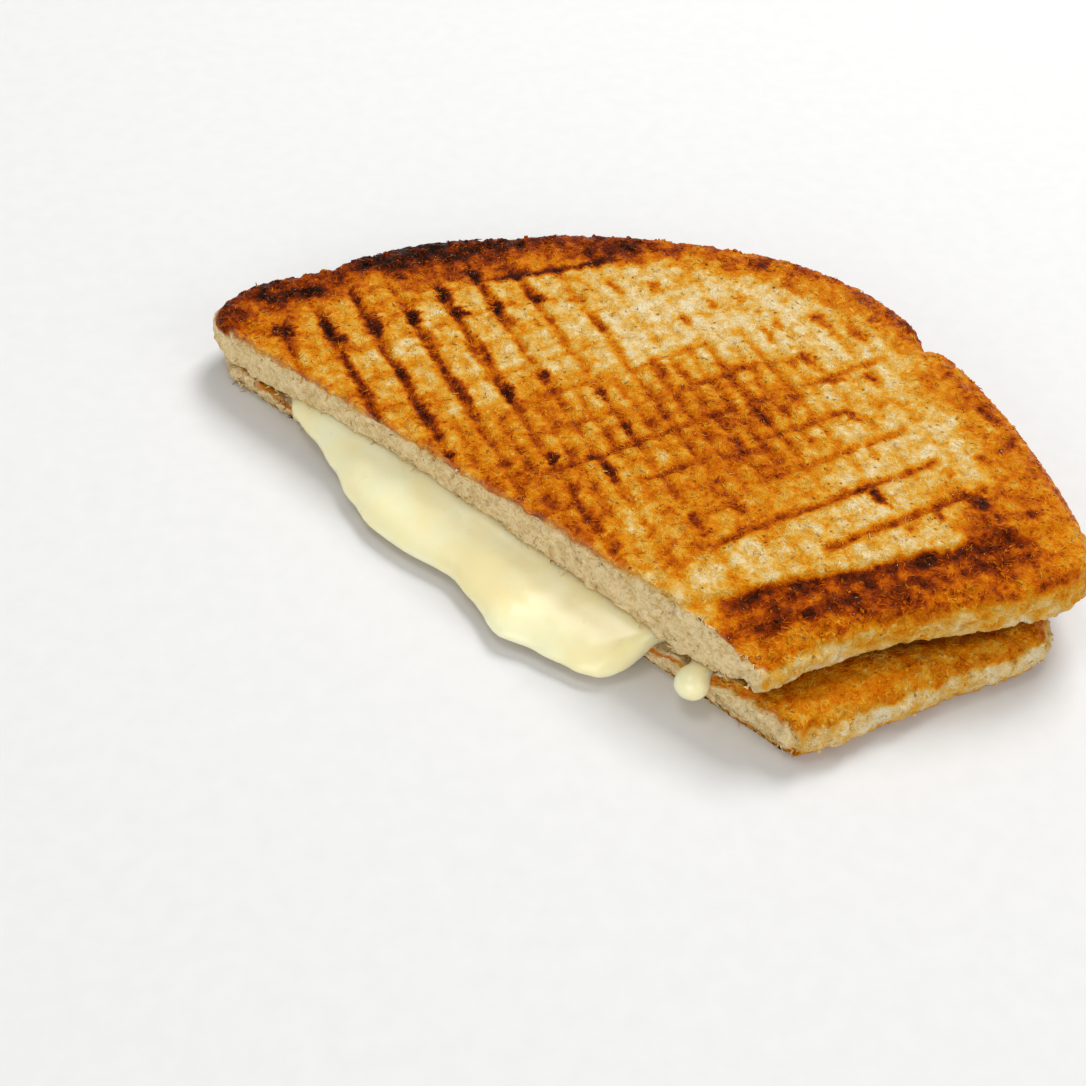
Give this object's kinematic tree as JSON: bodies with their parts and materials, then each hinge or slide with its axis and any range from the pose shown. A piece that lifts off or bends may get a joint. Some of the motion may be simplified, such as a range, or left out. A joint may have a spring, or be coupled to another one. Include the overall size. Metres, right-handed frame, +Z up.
{
  "type": "grilled cheese sandwich half",
  "caption": "Half of a pressed grilled cheese sandwich, cut across, with grill-marked toasted bread and melted cheese running out of the cut.",
  "frame": {"origin": "on the table, under the middle of the bounding box of the half sandwich", "axes": "+X along the straight bottom crust towards the loaf's side, +Y towards the domed crust, +Z up out of the grill-marked top face"},
  "size_m": [0.1066, 0.1018, 0.0168],
  "materials": {
    "toasted_bread": "matt toasted bread, golden to dark brown, with an oily sheen on the grill marks",
    "melted_cheese": "smooth pale yellow melted cheese with a soft gloss"
  },
  "bodies": {
    "root": {"top_slice": "toasted_bread", "cheese": "melted_cheese", "bottom_slice": "toasted_bread"}
  },
  "joints": []
}
